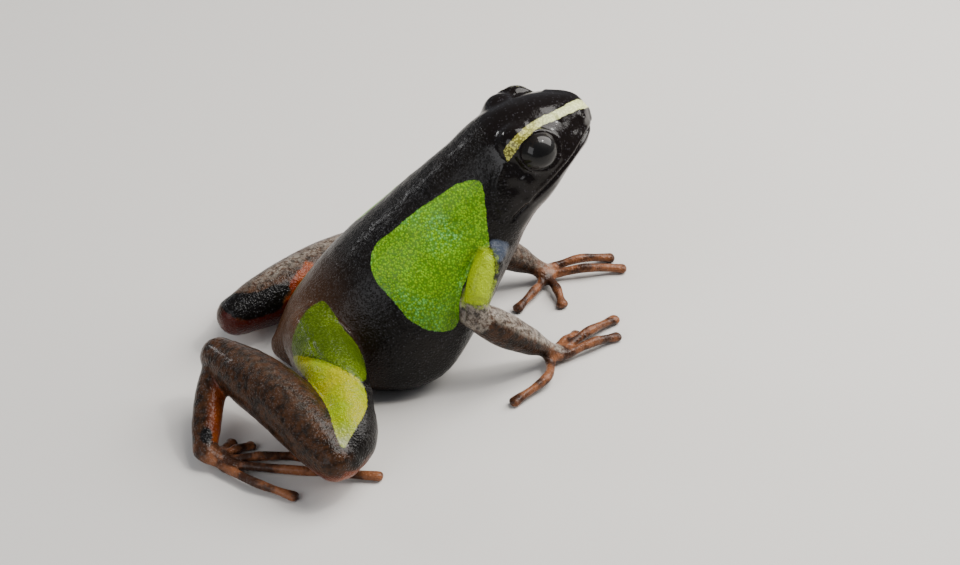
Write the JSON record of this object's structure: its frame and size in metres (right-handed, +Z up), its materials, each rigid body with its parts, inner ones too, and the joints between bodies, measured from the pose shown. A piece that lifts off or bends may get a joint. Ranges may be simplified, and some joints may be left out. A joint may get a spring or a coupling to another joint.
{
  "type": "black-and-green mantella frog",
  "caption": "Small ground frog sitting on its belly with the chest raised on its arms and the hind legs folded; still display model.",
  "frame": {"origin": "on the ground, under the middle of the frog's bounding box", "axes": "+X the way the frog faces, +Y its left side, +Z up"},
  "size_m": [0.0281, 0.0261, 0.0156],
  "materials": {
    "black_skin": "moist, finely granular, glossy on the head",
    "brown_skin": "moist, finely granular with a silvery sheen",
    "green_skin": "moist, finely granular",
    "eye": "wet and mirror smooth"
  },
  "bodies": {
    "root": {"torso": "black_skin", "head": "black_skin", "left_eye": "eye", "left_upper_arm": "green_skin", "left_forearm": "brown_skin", "left_hand": "brown_skin", "left_thigh": "green_skin", "left_shank": "brown_skin", "left_tarsus": "brown_skin", "left_foot": "brown_skin", "right_eye": "eye", "right_upper_arm": "green_skin", "right_forearm": "brown_skin", "right_hand": "brown_skin", "right_thigh": "green_skin", "right_shank": "brown_skin", "right_tarsus": "brown_skin", "right_foot": "brown_skin"}
  },
  "joints": []
}
